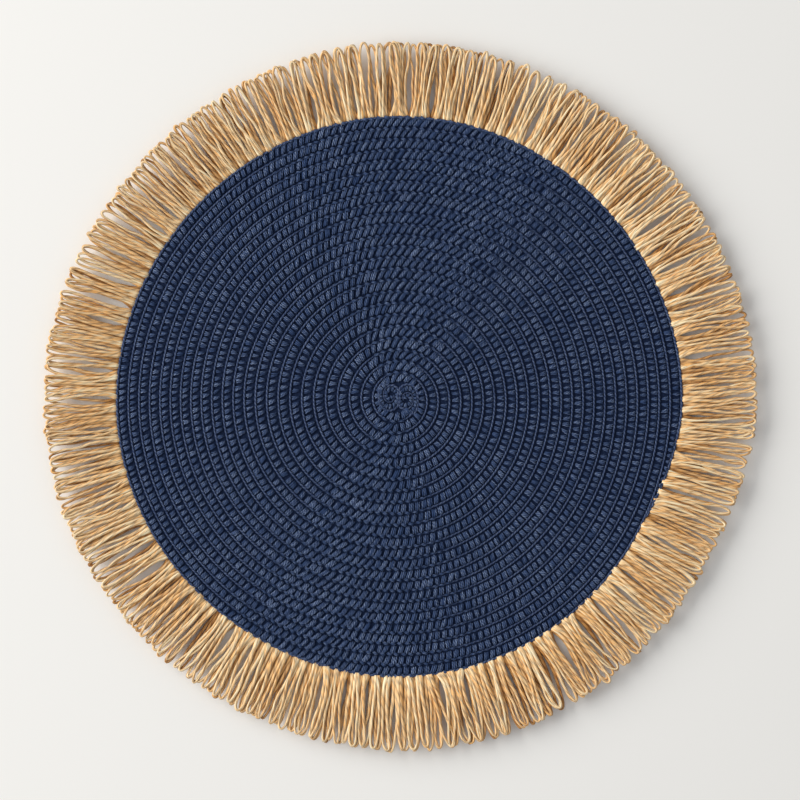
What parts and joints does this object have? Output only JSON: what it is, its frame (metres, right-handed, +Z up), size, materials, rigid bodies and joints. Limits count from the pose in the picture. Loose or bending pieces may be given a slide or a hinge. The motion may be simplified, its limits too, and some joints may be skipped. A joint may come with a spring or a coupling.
{
  "type": "round braided paper placemat with looped fringe",
  "caption": "Round table mat of a flat paper braid wound in a spiral, with a fringe of looped paper yarn round its rim.",
  "frame": {"origin": "middle of the flat underside, on the table", "axes": "+Z up out of the ribbed top, +Y to the top edge of the picture, +X to its right edge"},
  "size_m": [0.3832, 0.3798, 0.004],
  "materials": {
    "braid": "navy dyed twisted paper, matte with a faint wax sheen",
    "yarn": "natural tan twisted paper yarn, matte"
  },
  "bodies": {
    "root": {"mat_body": "braid", "fringe": "yarn"}
  },
  "joints": []
}
